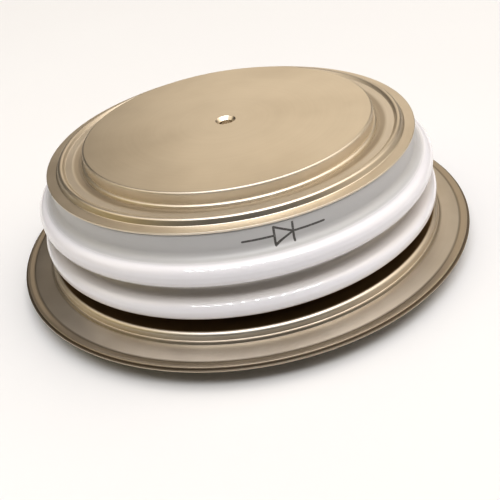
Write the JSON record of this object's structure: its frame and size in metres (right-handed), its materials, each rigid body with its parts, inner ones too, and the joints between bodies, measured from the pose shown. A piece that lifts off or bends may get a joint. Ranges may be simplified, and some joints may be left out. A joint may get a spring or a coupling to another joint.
{
  "type": "press-pack diode",
  "caption": "Disc-type press-pack power diode: a silicon wafer between two round contact discs, sealed in a ribbed ceramic ring with a cold-welded metal flange.",
  "frame": {"origin": "centre of the lower contact face", "axes": "+Z is the axis of the discs, from the lower contact face to the upper one; the flange is near the lower face"},
  "size_m": [0.12, 0.12, 0.035],
  "materials": {
    "nickel_plate": "satin nickel plating",
    "flange_metal": "nickel-plated sheet, lightly tarnished",
    "braze": "silver braze, satin",
    "glazed_ceramic": "white glazed alumina",
    "molybdenum": "lapped",
    "silver": "rolled silver foil",
    "silicon": "metallised silicon",
    "silicone": "cast silicone",
    "ptfe": "machined"
  },
  "bodies": {
    "root": {"upper_pole_piece": "nickel_plate", "upper_pole_braze_ring": "braze", "upper_diaphragm": "nickel_plate", "upper_ceramic_braze_ring": "braze", "ceramic_insulator": "glazed_ceramic", "lower_ceramic_braze_ring": "braze", "ceramic_weld_flange": "flange_metal", "lid_weld_flange": "flange_metal", "lower_pole_braze_ring": "braze", "lower_pole_piece": "nickel_plate", "lower_silver_shim": "silver", "lower_molybdenum_disc": "molybdenum", "silicon_wafer": "silicon", "wafer_edge_seal": "silicone", "upper_molybdenum_disc": "molybdenum", "upper_silver_shim": "silver", "pellet_centring_ring": "ptfe"}
  },
  "joints": []
}
